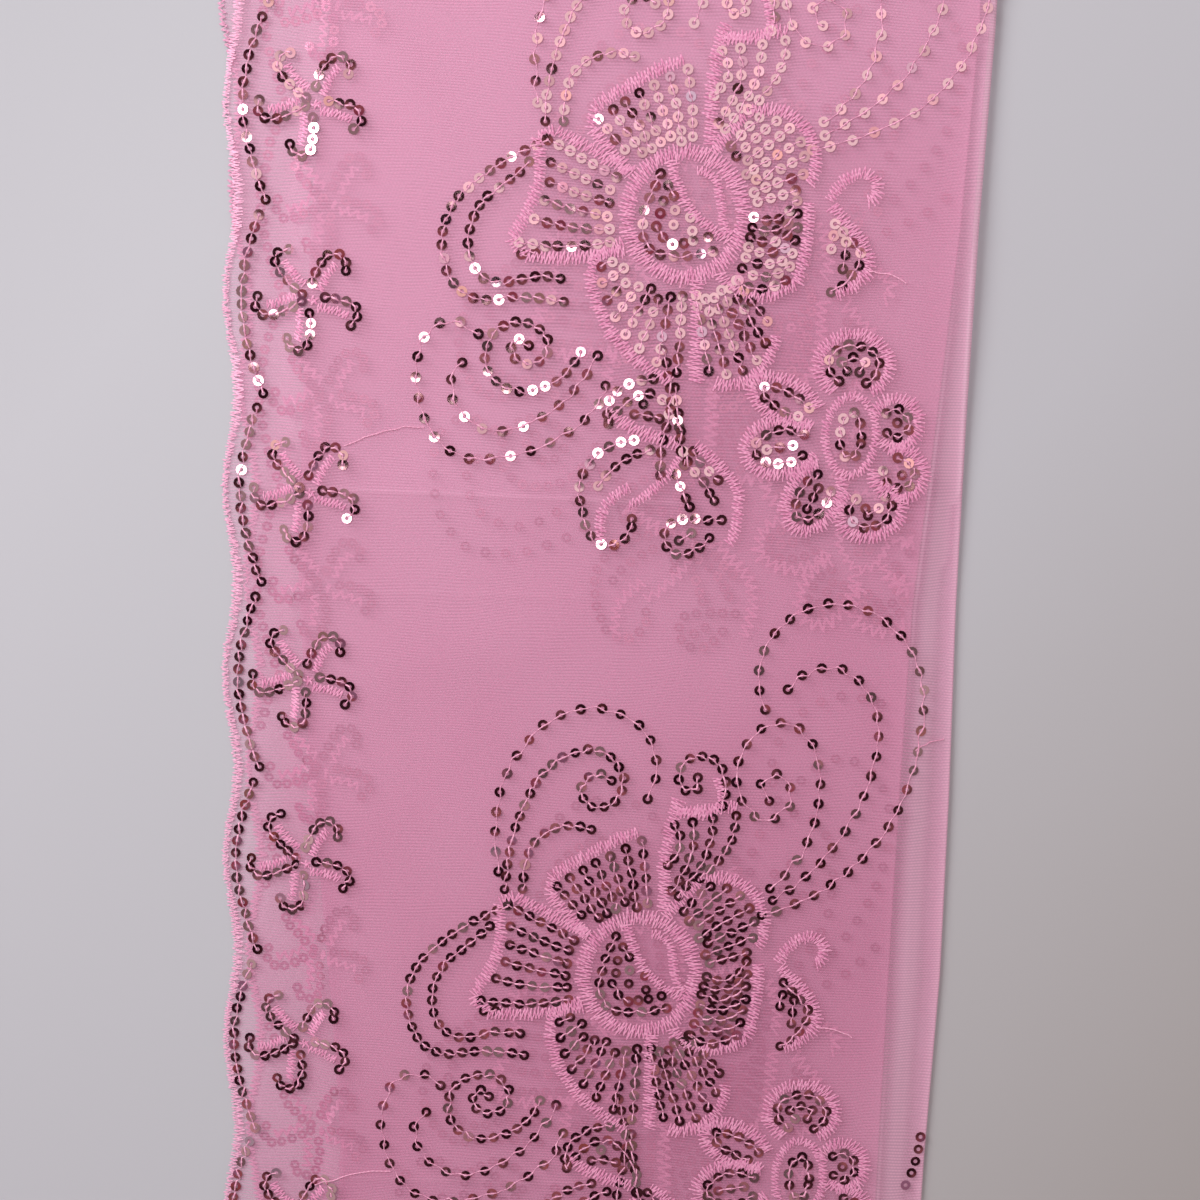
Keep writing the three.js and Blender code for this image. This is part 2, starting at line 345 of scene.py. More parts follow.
# A scroll is one thread of sequins. It starts at (x, y) from the flower's centre, heading that many
# degrees, and turns evenly along each bend of (length, turn).
SCROLLS = [
    # x, y, heading, pitch, bends
    # left crest
    (-41, 29, 102, WIDE, [(20, -20), (28, -44), (20, -54), (31, -106)]),
    (-39, 24, 90, CLOSE, [(30, -26), (18, -45), (17, -100), (12, -92), (20, -235)]),
    (-34, 24, 92, CLOSE, [(8, -12), (24, -103)]),
    # top curl
    (14.5, 58, -50, CLOSE, [(8, -180), (11, -110), (12, -100), (10, -25)]),
    # right crest
    (33, 78, 119, WIDE, [(13, -38), (20, -54), (20, -52), (30, -62), (30, -24), (54, -54)]),
    (39, 84, 55, WIDE, [(10, -35), (12, -62), (20, -53), (57, -52)]),
    (35, 52, 160, WIDE, [(14, -200), (24, -195), (24, -80), (20, -115), (49, -74)]),
    # left arm and the last row of its petal
    (-38, 19, -158, CLOSE, [(26, 20), (28, 82), (12, 66), (21, -20)]),
    (-43, 13, -133, CLOSE, [(12, -12), (22, 75), (10, 70), (6, 18), (12, -34)]),
    (-44.5, -12, 5, CLOSE, [(4, 0)]),
    # low scroll
    (-42, -37, 100, CLOSE, [(8, 185), (20, 215), (36, 217), (24, 78)]),
    (-60, -42, -150, WIDE, [(8, 68), (24, 100), (32, 50)]),
    (-56, -34, 130, WIDE, [(20, 125), (26, 50), (14, 55), (34, 45), (10, 35)]),
    # stems
    (-5, -37, -70, CLOSE, [(9, -10), (12, -25), (14, 20)]),
    (-1, -47, -85, CLOSE, [(14, 5), (10, 0)]),
    # low leaf and hook
    (-7, -45, 178, CLOSE, [(12, 48), (9, 70)]),
    (-12, -62, 185, CLOSE, [(16, 53), (8, 40), (10, 14), (19, 170)]),
    (-7.5, -64.5, 195, CLOSE, [(20, 48)]),
    # low curl
    (13, -83.5, 180, CLOSE, [(9, 0), (4, 15), (5, 75), (4, 30), (5, 70), (9, 50)]),
    (1.6, -89.5, 35, CLOSE, [(5, 0)]),
    (0, -71, -70, CLOSE, [(10, 5)]),
    (1, -64.5, -60, CLOSE, [(8, 12), (9, -14)]),
    (4.5, -64.5, -54, CLOSE, [(11, 14)]),
    # right leaf
    (41, -1, -40, CLOSE, [(10, -10), (4, -70), (7, -10), (6, -60)]),
    (44.5, -6, -95, CLOSE, [(8, 0)]),
    (41, -4.5, -100, CLOSE, [(5, 0)]),
]

# A petal is a fan of rows that run in to the ring. Angles are in degrees about the flower's centre.
# Reach and roots are how far out its first, middle and last row end and begin, bow swings them round,
# and sides says which sides have an outline of their own.
PETALS = [
    # root angles, tip angles, reach, roots, rows, bow, sides
    ((153, 202), (153, 191), (43, 38, 46), (21, 21, 21), 6, 0, "both"),
    ((135, 86), (134, 91), (35, 35, 39), (22, 19, 21), 7, 0, "first"),
    ((78, 62), (79, 61.5), (45, 48.5, 54), (33, 23, 31), 4, -4, "none"),
    ((58, 12), (54, 14), (33, 37, 31), (22, 20, 20), 7, 0, "first"),
    ((0, -48), (9, -31), (31, 31, 33), (19, 18, 22), 7, -6, "last"),
    ((-50, -80), (-50, -79), (37, 45, 43), (22, 22, 22), 6, 0, "none"),
    ((215, 270), (213, 269), (27, 35, 43), (22, 22, 22), 8, 0, "first"),
]

LEAF_GAP = 2.7  # between sequins of neighbouring rows in a leaf

# A leaf is a nest of rows between two ends, each bulging further to the right of the way from start to end.
LEAVES = [
    # start, end, first bulge, last bulge, rows
    ((-7, 11), (10, -9), 1, 15, 7),  # heart
    ((-19, -57), (1, -59), -3, -9, 3),  # low leaf
]

# The rosette's petals stand round its centre, each one a loop of stitches round rows of sequins.
ROSETTE_CENTRE = (48, -59)
ROSETTE_HEART = (7, 11)
ROSETTE_HEART_RING = (3, 6.5)  # the ring of sequins in it
ROSETTE_INSETS = (2.9, 6.5)  # from a petal's outline in to its loops of sequins
NARROWEST_LOOP = 1.8  # half the width of a loop
LOOP_TURN = 150  # degrees from a petal's tip to where its loop ends, at its foot
ROSETTE_PETALS = [
    # angle, distance, length, width
    (90, 19.5, 17, 20),
    (17, 13, 13, 14),
    (-36, 17, 15, 14),
    (-73, 21.5, 15, 18),
    (-119, 20, 20, 14),
    (191, 19.5, 21, 15),
    (154, 20.5, 21, 11),
]

# A seam is a zigzag of satin thread laid along a bent line.
SEAMS = [
    # x, y, heading, width, bends
    (-4.5, 14.5, -72, 3.0, [(10, 5), (8, 30), (10, 5)]),  # heart's edge
    (3, 12, 10, 2.6, [(8, -90), (10, 0), (4, 60)]),  # heart's curl
    (6.5, 19, 92, 3.8, [(10, 0), (12, -12), (11, -8)]),  # line up
    (9, 48, -10, 3.0, [(8, 10), (8, 95), (6, 20)]),  # line to the top curl
    (4, -17.5, -90, 3.8, [(28, 2)]),  # line down
    (-19, -54, -45, 3.8, [(8, 20), (14, 15)]),  # low leaf
    (1, -66.5, 240, 2.6, [(8, -12), (9, -14), (3, -15)]),  # low hook
    (-13, -75, 210, 3.0, [(7, 15), (5, 40), (7, 10)]),  # low hook, end
    (5, -63, -33, 3.2, [(12, -14), (5, -18), (3, -26), (6, -2), (7, -32)]),  # low curl
    (40, 3.5, -45, 3.6, [(8, 0), (6, -10), (6, -40), (5, -50), (8, -10)]),  # right leaf
    (39.5, 5, 65, 3.4, [(7, -20), (5, -40), (6, -80), (6, -80)]),  # right leaf, hook
]

# A border star's arms run out from its centre and hook round to the right. A short satin stem lies in
# each hook.
STAR_ARMS = [(1, 4.8), (74, 4.2), (148, 1.6), (214, 1.8), (280, 4.2)]  # angle, start
ARM_PITCH = 3.0
ARM_REACH = 12.0  # from the centre to where the hook begins
ARM_TURN = -22
HOOK = (9.6, -165)
STEM_START = 2.6
STEM_ASIDE = 2.7
STEM_BENDS = [(9, -28)]
STEM_WIDTH = 2.4
KNOT = (1.6, -0.8)
KNOT_RADII = (0.9, 0.7)
KNOT_WIDTH = 1.3

# The wavy border line runs from cusp to cusp, in places from the star's centre.
WAVE_CUSP = -12.3
WAVE_BELLY = -18.9
WAVE_POINT = 1.7  # how sharply it comes to a point at a cusp


def bent_path(x, y, heading, bends):
    """Points along a line that turns evenly over each bend of (length, turn in degrees)."""
    points = [(x, y)]
    angle = math.radians(heading)
    for length, turn in bends:
        steps = max(1, round(length / PATH_STEP))
        half_turn = math.radians(turn) / steps / 2
        for _ in range(steps):
            angle += half_turn
            x += length / steps * math.cos(angle)
            y += length / steps * math.sin(angle)
            angle += half_turn
            points.append((x, y))
    return np.array(points)


def ways(points):
    """Unit vectors ahead along rows of flat points, and to their left."""
    ahead = np.gradient(points, axis=-2)
    ahead /= np.maximum(np.linalg.norm(ahead, axis=-1, keepdims=True), 1e-6)
    return ahead, np.stack([-ahead[..., 1], ahead[..., 0]], axis=-1)


def spaced(path, pitch):
    """Places at an equal pitch along a path, from its first point."""
    along = np.concatenate([[0], np.cumsum(np.hypot(*np.diff(path, axis=0).T))])
    stops = np.arange(0, along[-1] + pitch * LEFT_OVER, pitch)
    return np.column_stack([np.interp(stops, along, path[:, 0]), np.interp(stops, along, path[:, 1])])


def through(values, share):
    """Quadratic through three values at shares 0, 1/2 and 1."""
    a, b, c = values
    return a + (4 * b - 3 * a - c) * share + 2 * (a - 2 * b + c) * share * share


def polar(radius, degrees):
    angle = np.radians(degrees)
    return np.column_stack([radius * np.cos(angle), radius * np.sin(angle)])


def fan_angle(petal, share, inwards):
    """Direction from the flower's centre on a petal's row, at a share of the way in from its tip."""
    feet, tips, _, _, _, bow, _ = petal
    root = feet[0] + (feet[1] - feet[0]) * share
    tip = tips[0] + (tips[1] - tips[0]) * share
    return tip + (root - tip) * inwards + bow * 4 * inwards * (1 - inwards)


def petal_row(petal, share):
    _, _, reaches, roots, *_ = petal
    inwards = np.linspace(0, 1, ROW_POINTS)
    reach, root = through(reaches, share), through(roots, share)
    return polar(reach + (root - reach) * inwards, fan_angle(petal, share, inwards))


def petal_side(petal, last):
    """The outline beside a petal's first or last row, from its tip in to the ring."""
    _, tips, reaches, *_ = petal
    inwards = np.linspace(0, 1, 30)
    reach = reaches[2 if last else 0] + 1
    radius = reach + (PETAL_FOOT - reach) * inwards
    outwards = 1 if (tips[1] > tips[0]) == last else -1
    return polar(radius, fan_angle(petal, float(last), inwards) + outwards * np.degrees(PETAL_RIM / radius))


def petal_outline(petal):
    _, tips, reach, _, _, _, sides = petal
    share = np.linspace(0.04, 0.96, 40)
    parts = [polar(through(reach, share) + PETAL_RIM, tips[0] + (tips[1] - tips[0]) * share)]
    if sides in ("first", "both"):
        parts.insert(0, petal_side(petal, False)[::-1][:-2])
    if sides in ("last", "both"):
        parts.append(petal_side(petal, True)[2:])
    return np.concatenate(parts)


def leaf_row(start, end, bulge):
    share = np.linspace(0, 1, ROW_POINTS)[:, None]
    chord = np.subtract(end, start).astype(float)
    aside = np.array([chord[1], -chord[0]]) / np.hypot(*chord)
    return start + chord * share + aside * bulge * 4 * share * (1 - share)


def clear_of(row, others, gap):
    """The places in a row that keep a gap from every place in the others."""
    for other in others:
        away = np.linalg.norm(row[:, None] - other[None], axis=2)
        row = row[away.min(axis=1, initial=np.inf) > gap]
    return row


def rosette_loop(angle, distance, length, width, inset):
    """A loop inside a rosette petal's outline, open at its foot, or one row where it would be narrow."""
    half_width = width / 2 - inset
    narrow = half_width < NARROWEST_LOOP
    turn = np.radians(np.linspace(0 if narrow else -LOOP_TURN, LOOP_TURN, ROW_POINTS))
    out = distance + max(length / 2 - inset, 0) * np.cos(turn)
    aside = (0 if narrow else half_width) * np.sin(turn)
    c, s = math.cos(math.radians(angle)), math.sin(math.radians(angle))
    return np.column_stack([out * c - aside * s, out * s + aside * c]) + ROSETTE_CENTRE


def ellipse(centre, radii):
    angle = np.linspace(0, 2 * np.pi, 90)
    return np.column_stack([radii[0] * np.cos(angle), radii[1] * np.sin(angle)]) + centre


def flower_chains():
    """Threads of sequins, each as their places from the flower's centre."""
    chains = [spaced(bent_path(x, y, heading, bends), pitch) for x, y, heading, pitch, bends in SCROLLS]
    for petal in PETALS:
        last = petal[4] - 1
        chains += [spaced(petal_row(petal, row / last), CLOSE) for row in range(last + 1)]
    for start, end, first, last, rows in LEAVES:
        rows_of_leaf = []
        for bulge in np.linspace(last, first, rows):
            row = spaced(leaf_row(start, end, bulge), CLOSE)
            rows_of_leaf.append(clear_of(row, rows_of_leaf, LEAF_GAP))
        chains += rows_of_leaf
    for loop in ROSETTE_PETALS:
        outer, inner = (spaced(rosette_loop(*loop, inset), CLOSE) for inset in ROSETTE_INSETS)
        chains += [outer, clear_of(inner, [outer], LEAF_GAP)]
    chains += [spaced(ellipse(ROSETTE_CENTRE, ROSETTE_HEART_RING), CLOSE)]
    return chains


def flower_seams():
    """Zigzag seams, each as (its line, its width)."""
    seams = [(ellipse((0, 0), RING_RADII), RING_SEAM)]
    seams += [(petal_outline(petal), PETAL_SEAM) for petal in PETALS]
    seams += [(bent_path(x, y, heading, bends), width) for x, y, heading, width, bends in SEAMS]
    seams += [(rosette_loop(*loop, 0), PETAL_SEAM) for loop in ROSETTE_PETALS]
    seams += [(ellipse(ROSETTE_CENTRE, ROSETTE_HEART), STEM_WIDTH)]
    return seams


def star_chains():
    chains = []
    for angle, start in STAR_ARMS:
        bends = [(ARM_REACH - start, ARM_TURN), HOOK]
        chains.append(spaced(bent_path(*polar(start, angle)[0], angle, bends), ARM_PITCH))
    return chains


def star_seams():
    seams = []
    for angle, _ in STAR_ARMS:
        start = polar(STEM_START, angle)[0] + polar(STEM_ASIDE, angle - 90)[0]
        seams.append((bent_path(*start, angle, STEM_BENDS), STEM_WIDTH))
    return seams + [(ellipse(KNOT, KNOT_RADII), KNOT_WIDTH)]


def wave_chain():
    """One scallop's length of the wavy line, round a star at (0, 0)."""
    y = np.linspace(-SCALLOP_PITCH / 2, SCALLOP_PITCH / 2, 200)
    x = WAVE_BELLY + (WAVE_CUSP - WAVE_BELLY) * np.abs(2 * y / SCALLOP_PITCH) ** WAVE_POINT
    return spaced(np.column_stack([x, y]), CLOSE)[:-1]


# ------------ meshes


def add_object(name, data):
    item = bpy.data.objects.new(name, data)
    bpy.context.scene.collection.objects.link(item)
    return item


def add_piece(name, points, faces, material, attributes):
    """A smooth-shaded object from points in millimetres, with one number or vector per point."""
    points[:, 2] = np.maximum(points[:, 2], 0)  # nothing goes through the surface below
    mesh = bpy.data.meshes.new(name)
    mesh.from_pydata((points * MM).tolist(), [], faces.tolist())
    for label, values in attributes.items():
        vector = values.ndim == 2
        layer = mesh.attributes.new(label, "FLOAT_VECTOR" if vector else "FLOAT", "POINT")
        layer.data.foreach_set("vector" if vector else "value", values.astype(np.float32).ravel())
    mesh.polygons.foreach_set("use_smooth", np.ones(len(faces), bool))
    mesh.materials.append(material)
    return add_object(name, mesh)


def grid_faces(rows, columns):
    corner = np.arange(rows * columns).reshape(rows, columns)
    sides = [corner[:-1, :-1], corner[:-1, 1:], corner[1:, 1:], corner[1:, :-1]]
    return np.stack([side.ravel() for side in sides], axis=1)


FOLD_SHOWS_AT = 30.0  # along the shawl, where the inner fold's line and its painted highlight show most
FOLD_LINE_WIDTH = 0.5
# Each share below packs more thread into the net and also paints it paler, a painted highlight. Beyond the
# inner fold it also paints the strip lighter, against the shade that falls on its slope.
CREASE_PRESS_AND_HIGHLIGHT = 0.12
FOLD_PRESS_AND_HIGHLIGHT = 0.5
STRIP_COVER_AND_LIGHT = 0.4


def press_and_highlight_line(points, near_fold):
    """How sharply the net is packed by pressing at each point, at its creases and along its folds. The same
    share paints a paler highlight there, and paints the strip beyond the inner fold lighter against the shade
    on it.
    """
    x, y = points[:, 0], points[:, 1]
    over_fold = np.exp(-(((x - across("inner_fold", y) + 0.1) / FOLD_LINE_WIDTH) ** 2))
    shown = (0.5 + 0.5 * np.cos(2 * np.pi * (y - FOLD_SHOWS_AT) / FLOWER_PITCH)) ** 1.5
    beyond_fold = smooth((x - across("inner_fold", y)) / TIGHT_STRIP)
    on_top = points[:, 2] > BOTTOM + RISE * 1.5
    pressed_and_highlight = near_fold + np.where(on_top, FOLD_PRESS_AND_HIGHLIGHT * over_fold * shown + STRIP_COVER_AND_LIGHT * beyond_fold, 0)
    for crease in CREASES:
        pressed_and_highlight += CREASE_PRESS_AND_HIGHLIGHT * abs(crease[2]) * crease_profile(x, y, crease)[1]
    return np.clip(pressed_and_highlight, 0, 1)


# How far the net is pulled out of true, in millimetres, along its rows and across them.
PULL_ALONG = [(9, 6, 1.1, 0.3), (-14, 21, 0.45, 2.2), (31, 12, 0.25, 4.4), (24, -40, 0.16, 1.0)]
PULL_ACROSS = [(5, 11, 1.3, 1.1), (18, -9, 0.5, 0.6), (-33, 17, 0.3, 3.1), (12, 44, 0.2, 5.0)]
# How much more or less thread the net packs into an area.
PACKING = [
    (7, 4, 0.3, 0.5), (-11, 9, 0.25, 1.7), (16, 13, 0.2, 3.9), (27, -22, 0.15, 2.6), (-38, 31, 0.1, 0.9)
]

DEEP_EVERYWHERE = 0.2
# A slow wave of painted shade, deepening the cloth towards the lower right.
DEEP_SHADE_WAVES = [(1.4, -1.6, 0.35, 0.2)]
DEEP_FLOWER = (15.0, 8.0, 48.0, 68.0, 0.4)  # from a second-layer flower's centre, reach each way, share
DEEP_FOLD = (-3.0, 6.0, 0.6)  # from the centre fold, reach to each side, share
DEEP_PACKING = 0.25


def deepened(x, y):
    """How much pinker the cloth is over the layers below, most of all over their embroidery, with painted
    shade that deepens it towards the lower right.
    """
    from_fold, fold_reach, fold_share = DEEP_FOLD
    past_fold = x - across("centre_fold", y) - from_fold
    deep = fold_share * np.exp(-((past_fold / fold_reach) ** 2))
    shift_x, shift_y, reach_x, reach_y, share = DEEP_FLOWER
    for flower_x, flower_y in FLOWER_CENTRES:
        dx = (x - flower_x - SECOND_SHIFT[0] - shift_x) / reach_x
        dy = (y - flower_y - SECOND_SHIFT[1] - shift_y) / reach_y
        deep = deep + share * np.exp(-(dx**2 + dy**2) ** 1.5)
    doubled = 1 - smooth((x - across("inner_fold", y)) / TIGHT_STRIP)
    return (deep + DEEP_EVERYWHERE + waves_at(x, y, DEEP_SHADE_WAVES)) * doubled


def cloth_sheet(name, section_at, end, step, first_across, fold_start, fold_shown, material):
    """A folded layer through one cross-section at each row, with its place in the uncut cloth."""
    rows = sheet_rows(end, step)
    sections = [section_at(y) for y in rows]
    columns = len(sections[0])
    flat = np.array([[(x, y, z) for x, z in section] for section, y in zip(sections, rows)])
    points = flat.reshape(-1, 3)
    run = np.hypot(*np.moveaxis(np.diff(flat[:, :, [0, 2]], axis=1), 2, 0))
    unrolled = first_across + np.concatenate([np.zeros((len(rows), 1)), np.cumsum(run, axis=1)], axis=1)
    u, v = unrolled.ravel(), points[:, 1].copy()
    pulled = [u + waves_at(u, v, PULL_ALONG), v + waves_at(u, v, PULL_ACROSS), np.zeros(len(points))]
    fold = np.zeros(columns)
    fold[fold_start : fold_start + FOLD_SEGMENTS + 1] = fold_shown
    pressed_and_highlight = press_and_highlight_line(points, np.tile(fold, len(rows)))
    points[:, 2] = lifted(points[:, 0], points[:, 1], points[:, 2])
    packing = waves_at(u, v, PACKING)
    attributes = {
        "weave": np.column_stack(pulled) * MM,
        "pressed_and_highlight": pressed_and_highlight,
        "packing": packing,
        "deep": deepened(points[:, 0], points[:, 1]) + packing * DEEP_PACKING,
    }
    return add_piece(name, points, grid_faces(len(rows), columns), material, attributes)


SEQUIN_RADIUS = 1.5
SEQUIN_HOLE = 0.6
SEQUIN_CUP = 0.006
SEQUIN_SIZES = (0.95, 1.05)  # smallest and largest, as shares of the usual one


def sequin_mesh(name, places, sides, material, face_down=False):
    """Cupped rings, one at each place of (x, y, z, slope in x, slope in y)."""
    count = len(places)
    angle = np.linspace(0, 2 * np.pi, sides, endpoint=False) + rng.uniform(0, 2 * np.pi, (count, 1))
    size = rng.uniform(*SEQUIN_SIZES, (count, 1))
    rings = []
    for radius, height in ((SEQUIN_RADIUS, -SEQUIN_CUP if face_down else SEQUIN_CUP), (SEQUIN_HOLE, 0)):
        dx = radius * size * np.cos(angle)
        dy = radius * size * np.sin(angle)
        dz = height + dx * places[:, 3:4] + dy * places[:, 4:5]
        rings.append(np.stack([places[:, 0:1] + dx, places[:, 1:2] + dy, places[:, 2:3] + dz], axis=2))
    points = np.stack(rings, axis=1).reshape(-1, 3)
    side = np.arange(sides)
    quad = np.column_stack([side, (side + 1) % sides, (side + 1) % sides + sides, side + sides])
    faces = (np.arange(count)[:, None, None] * 2 * sides + quad).reshape(-1, 4)
    attributes = {label: np.repeat(rng.uniform(0, 1, count), 2 * sides) for label in ("tone", "wear")}
    return add_piece(name, points, faces, material, attributes)


def strand_mesh(name, lines, half_widths, crown, material):
    """Rounded threads along rows of points, each with a left foot, a crown and a right foot across it."""
    count, length, _ = lines.shape
    aside = ways(lines[:, :, :2])[1] * half_widths[:, :, None]
    left, middle, right = lines.copy(), lines.copy(), lines.copy()
    left[:, :, :2] += aside
    right[:, :, :2] -= aside
    middle[:, :, 2] += crown
    points = np.stack([left, middle, right], axis=2).reshape(-1, 3)
    one = grid_faces(length, 3)[:, ::-1]
    faces = (np.arange(count)[:, None, None] * length * 3 + one).reshape(-1, 4)
    run = np.linalg.norm(np.diff(lines, axis=1), axis=2)
    along = np.concatenate([np.zeros((count, 1)), np.cumsum(run, axis=1)], axis=1)
    attributes = {
        "tone": np.repeat(rng.uniform(0, 1, count), length * 3),
        "along": np.repeat(along.ravel(), 3) * MM,
    }
    return add_piece(name, points, faces, material, attributes)


# ------------ materials


def new_material(name):
    material = bpy.data.materials.new(name)
    material.use_nodes = True
    return material, material.node_tree, material.node_tree.nodes["Principled BSDF"]


def feed(node, inputs):
    """Give a node's inputs their values, or link them to other nodes' outputs."""
    for key, value in inputs.items():
        socket = node.inputs[key]
        if isinstance(value, bpy.types.NodeSocket):
            node.id_data.links.new(value, socket)
        else:
            socket.default_value = (*value, 1) if socket.type == "RGBA" else value


def add_node(tree, kind, inputs):
    node = tree.nodes.new("ShaderNode" + kind)
    feed(node, inputs)
    return node


def attribute_node(tree, label, output="Fac"):
    node = add_node(tree, "Attribute", {})
    node.attribute_name = label
    return node.outputs[output]


def math_node(tree, operation, *values):
    """A sum on numbers or on other nodes' outputs."""
    node = add_node(tree, "Math", dict(enumerate(values)))
    node.operation = operation
    return node.outputs[0]


def dot_node(tree, first, second):
    node = add_node(tree, "VectorMath", {0: first, 1: second})
    node.operation = "DOT_PRODUCT"
    return node.outputs["Value"]


def ramp_node(tree, factor, stops):
    """Colour between stops of (position, linear colour)."""
    node = add_node(tree, "ValToRGB", {"Fac": factor})
    elements = node.color_ramp.elements
    elements[0].position, elements[1].position = stops[0][0], stops[-1][0]
    elements[0].color, elements[1].color = (*stops[0][1], 1), (*stops[-1][1], 1)
    for position, colour in stops[1:-1]:
        elements.new(position).color = (*colour, 1)
    return node.outputs["Color"]


def noise_node(tree, vector, scale, detail):
    node = add_node(tree, "TexNoise", {"Vector": vector, "Scale": scale, "Detail": detail})
    return node.outputs["Fac"]


def mixed_colour(tree, factor, first, second):
    node = tree.nodes.new("ShaderNodeMix")
    node.data_type = "RGBA"
    feed(node, {0: factor, 6: first, 7: second})
    return node.outputs[2]


TULLE_PINK = (0.95, 0.46, 0.67)
TULLE_DEEP = (0.83, 0.32, 0.52)
# The next colour is a painted highlight, laid along the net's creases and folds.
TULLE_HIGHLIGHT = (1.0, 0.68, 0.81)
NET_PITCH = 0.00083  # metres from one row of the net's holes to the next
NET_COVER = 0.33  # share of the area that thread covers
NET_CONTRAST = 0.075
PACKING_CONTRAST = 0.02
PRESSED_COVER = 0.4
# How far packing by pressing paints the net towards that highlight colour.
PRESSED_HIGHLIGHT = 0.65


def net_lines(tree, vector, turn, share):
    """A cosine across the net's lines that lie at that angle, times a share."""
    count = 2 * math.pi / NET_PITCH
    angle = math.radians(turn)
    phase = dot_node(tree, vector, (-count * math.sin(angle), count * math.cos(angle), 0))
    return math_node(tree, "MULTIPLY", math_node(tree, "COSINE", phase), share)


def net_material(name):
    """What both nets share, with the pink that their own nodes start from."""
    material, tree, shader = new_material(name)
    feed(shader, {"Roughness": 0.6, "Specular IOR Level": 0.3})
    return material, tree, shader, mixed_colour(tree, attribute_node(tree, "deep"), TULLE_PINK, TULLE_DEEP)


def tulle_material():
    """Sheer net: three sets of fine lines, pulled slightly out of true, decide how much thread covers. Along
    its creases and folds it covers more and is painted paler, a painted highlight.
    """
    material, tree, shader, pink = net_material("tulle")
    weave = attribute_node(tree, "weave", "Vector")
    slants = math_node(tree, "ADD", net_lines(tree, weave, 60, 0.25), net_lines(tree, weave, -60, 0.25))
    lines = math_node(tree, "ADD", net_lines(tree, weave, 0, 1.2), slants)
    net = math_node(tree, "MULTIPLY_ADD", lines, NET_CONTRAST, NET_COVER)
    packed = math_node(tree, "MULTIPLY_ADD", attribute_node(tree, "packing"), PACKING_CONTRAST, net)
    pressed_and_highlight = attribute_node(tree, "pressed_and_highlight")
    # The paler mix is a painted highlight along the creases and folds.
    pale = math_node(tree, "MULTIPLY", pressed_and_highlight, PRESSED_HIGHLIGHT)
    feed(shader, {
        "Base Color": mixed_colour(tree, pale, pink, TULLE_HIGHLIGHT),
        "Alpha": math_node(tree, "MULTIPLY_ADD", pressed_and_highlight, PRESSED_COVER, packed),
        "Sheen Weight": 0.15,
    })
    return material


def plain_tulle_material():
    """The same net without its lines, for layers that only show through the others."""
    material, _, shader, pink = net_material("plain tulle")
    feed(shader, {"Base Color": pink, "Alpha": NET_COVER})
    return material


TWIST_LENGTH = 0.0013
# How far the twist paints each turn lighter, a painted highlight.
TWIST_HIGHLIGHT = 0.4


def thread_material(name, deep, light, roughness):
    """Plied thread: each strand has its own tone, and a fine twist along it bumps it and paints each turn
    lighter, a painted highlight.
    """
    material, tree, shader = new_material(name)
    turns = math_node(tree, "MULTIPLY", attribute_node(tree, "along"), 2 * math.pi / TWIST_LENGTH)
    twist = math_node(tree, "SINE", turns)
    shade = math_node(tree, "MULTIPLY_ADD", twist, TWIST_HIGHLIGHT, attribute_node(tree, "tone"))
    bump = add_node(tree, "Bump", {"Height": twist, "Strength": 0.3, "Distance": 0.0001})
    feed(shader, {
        "Base Color": ramp_node(tree, shade, [(0.0, deep), (1.0, light)]),
        "Roughness": roughness,
        "Sheen Weight": 0.3,
        "Normal": bump.outputs["Normal"],
    })
    return material


SEQUIN_TONES = [
    (0.0, (0.62, 0.33, 0.36)),
    (0.3, (0.84, 0.50, 0.54)),
    (0.85, (0.90, 0.56, 0.60)),
    (0.91, (0.80, 0.40, 0.35)),
    (0.95, (0.78, 0.36, 0.46)),
    (1.0, (0.70, 0.48, 0.60)),
]
BACK_TONES = [(0.0, (0.45, 0.16, 0.26)), (1.0, (0.70, 0.32, 0.42))]
WORN_ABOVE = 0.75  # share of the sequins that keep all their metal
WORN_METAL = 0.7


def sequin_material(name, stops, roughness):
    """Metallic rings that each have a tone of their own, some with part of their metal worn off."""
    material, tree, shader = new_material(name)
    wear = [(WORN_ABOVE, (1, 1, 1)), (1.0, (WORN_METAL,) * 3)]
    feed(shader, {
        "Base Color": ramp_node(tree, attribute_node(tree, "tone"), stops),
        "Metallic": ramp_node(tree, attribute_node(tree, "wear"), wear),
        "Roughness": roughness,
    })
    return material


# The cool tone is the floor's own colour. The corner tone and the warm tone are painted shade: duller at the
# upper left, and duller and warmer towards the lower right.
FLOOR_CORNER_SHADE = (0.483, 0.477, 0.505)
FLOOR_COOL = (0.548, 0.542, 0.575)
FLOOR_WARM_SHADE = (0.445, 0.415, 0.405)
FLOOR_SHADE_SLANT = (1.5, -1.3, 0)  # the way its painted shade changes, and how fast
FLOOR_TONES_AND_SHADE = [(0.03, FLOOR_CORNER_SHADE), (0.22, FLOOR_COOL), (0.6, FLOOR_COOL), (1.0, FLOOR_WARM_SHADE)]
FLOOR_MIDDLE = 0.45  # where the origin lies among the tones
FLOOR_MARKS = 0.1  # how far its faint marks shift them


def floor_material():
    """Pale board with painted shade: a little duller in its upper left, and duller and warmer in its lower
    right, standing in for the light's falloff.
    """
    material, tree, shader = new_material("pale floor")
    place = add_node(tree, "TexCoord", {}).outputs["Object"]
    marks = noise_node(tree, place, scale=6.0, detail=4.0)
    middle = math_node(tree, "ADD", dot_node(tree, place, FLOOR_SHADE_SLANT), FLOOR_MIDDLE)
    tone = math_node(tree, "MULTIPLY_ADD", marks, FLOOR_MARKS, middle)
    feed(shader, {
        "Base Color": ramp_node(tree, tone, FLOOR_TONES_AND_SHADE),
        "Roughness": 0.7,
        "Specular IOR Level": 0.2,
    })
    return material


